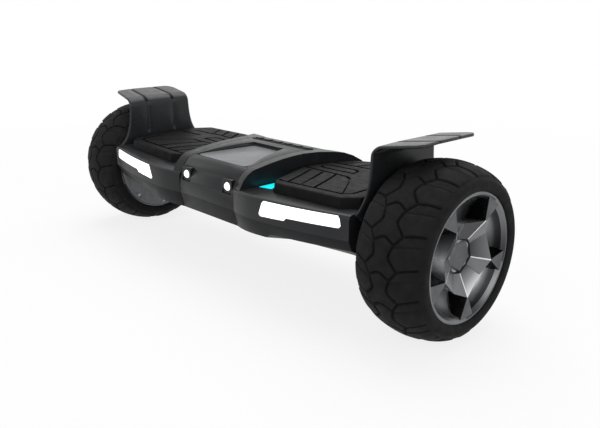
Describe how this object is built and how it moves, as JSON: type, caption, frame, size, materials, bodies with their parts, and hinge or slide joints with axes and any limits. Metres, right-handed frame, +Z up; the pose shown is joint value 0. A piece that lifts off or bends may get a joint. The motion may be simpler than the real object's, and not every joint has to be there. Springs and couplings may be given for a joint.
{
  "type": "self balancing hoverboard",
  "caption": "Self balancing board whose halves twist on a middle tube, with sprung foot pads, hub motor wheels, fenders, light bars and a capped charging socket.",
  "frame": {"origin": "middle of the board, on the floor under the wheels", "axes": "+X along the axles towards the right half, which has the ports; -Y is the front with the headlights; +Z is up"},
  "size_m": [0.755, 0.217, 0.2411],
  "materials": {
    "shell_plastic": "moulded, fine texture",
    "belly_plastic": "moulded, plain",
    "panel_plastic": "moulded, satin",
    "fender_plastic": "moulded, satin",
    "bezel_plastic": "moulded, gloss",
    "white_lens": "clear over white diffuser",
    "cyan_lens": "tinted diffuser",
    "dark_lens": "smoked window",
    "pad_rubber": "moulded, matt",
    "soft_rubber": "moulded",
    "cable_sheath": "extruded",
    "plate_plastic": "moulded",
    "port_plastic": "moulded",
    "frame_casting": "cast",
    "wheel_casting": "cast and polished, dark",
    "cover_casting": "turned",
    "turned_steel": "turned",
    "fastener_steel": "zinc plated",
    "bush_brass": "sintered",
    "wound_steel": "laminated and wound",
    "magnet": "plated",
    "tyre_rubber": "moulded tread",
    "cell_wrap": "shrink wrap over cells",
    "circuit": "coated board"
  },
  "bodies": {
    "right_half": {"right_frame": "frame_casting", "right_upper_shell": "shell_plastic", "right_lower_shell": "belly_plastic", "right_pad_stops": "soft_rubber", "right_sensor_board": "circuit", "right_fender": "fender_plastic", "right_light_bar": "white_lens", "right_accent_light": "cyan_lens", "right_screws": "fastener_steel", "right_axle_clamp": "frame_casting", "right_clamp_bolts": "fastener_steel", "right_axle": "turned_steel", "right_stator": "wound_steel", "centre_cover": "shell_plastic", "centre_lower_cover": "belly_plastic", "top_panel": "panel_plastic", "headlight_bezels": "bezel_plastic", "headlight_lenses": "white_lens", "indicator_lights": "dark_lens", "pivot_bushes": "bush_brass", "main_board": "circuit", "charge_socket": "port_plastic"},
    "left_half": {"left_frame": "frame_casting", "left_upper_shell": "shell_plastic", "left_lower_shell": "belly_plastic", "left_pad_stops": "soft_rubber", "left_sensor_board": "circuit", "left_fender": "fender_plastic", "left_light_bar": "white_lens", "left_accent_light": "cyan_lens", "left_screws": "fastener_steel", "left_axle_clamp": "frame_casting", "left_clamp_bolts": "fastener_steel", "left_axle": "turned_steel", "left_stator": "wound_steel", "pivot_tube": "turned_steel", "pivot_clip": "fastener_steel", "stop_pin": "fastener_steel", "pivot_cable": "cable_sheath", "battery_pack": "cell_wrap"},
    "right_wheel": {"right_tyre": "tyre_rubber", "right_rim": "wheel_casting", "right_hub_cap": "wheel_casting", "right_motor_cover": "cover_casting", "right_cover_screws": "fastener_steel", "right_magnet_ring": "magnet", "right_bearings": "turned_steel"},
    "left_wheel": {"left_tyre": "tyre_rubber", "left_rim": "wheel_casting", "left_hub_cap": "wheel_casting", "left_motor_cover": "cover_casting", "left_cover_screws": "fastener_steel", "left_magnet_ring": "magnet", "left_bearings": "turned_steel"},
    "right_pedal": {"right_pad": "pad_rubber", "right_pedal_plate": "plate_plastic"},
    "left_pedal": {"left_pad": "pad_rubber", "left_pedal_plate": "plate_plastic"},
    "power_button": {"power_button": "port_plastic"},
    "charge_cap": {"charge_cap": "soft_rubber"}
  },
  "joints": [
    {"name": "twist", "type": "hinge", "parent": "right_half", "child": "left_half", "pos_m": [0, 0, 0.108], "axis": [1, 0, 0], "range_deg": [-12, 12], "stiffness_Nm_per_rad": 6},
    {"name": "right_wheel_spin", "type": "hinge", "parent": "right_half", "child": "right_wheel", "pos_m": [0.329, 0, 0.108], "axis": [1, 0, 0], "continuous": true},
    {"name": "right_pedal_press", "type": "slide", "parent": "right_half", "child": "right_pedal", "axis": [0.0349, 0, -0.9994], "range_m": [0, 0.002], "stiffness_N_per_m": 9000, "springref_m": -0.001},
    {"name": "left_wheel_spin", "type": "hinge", "parent": "left_half", "child": "left_wheel", "pos_m": [-0.329, 0, 0.108], "axis": [1, 0, 0], "continuous": true},
    {"name": "left_pedal_press", "type": "slide", "parent": "left_half", "child": "left_pedal", "axis": [-0.0349, 0, -0.9994], "range_m": [0, 0.002], "stiffness_N_per_m": 9000, "springref_m": -0.001},
    {"name": "power_press", "type": "slide", "parent": "right_half", "child": "power_button", "axis": [0, -1, 0], "range_m": [0, 0.0016], "stiffness_N_per_m": 900, "springref_m": -0.001},
    {"name": "charge_cap_swing", "type": "hinge", "parent": "right_half", "child": "charge_cap", "pos_m": [0.132, 0.1083, 0.141], "axis": [1, 0, 0], "range_deg": [0, 110]}
  ]
}
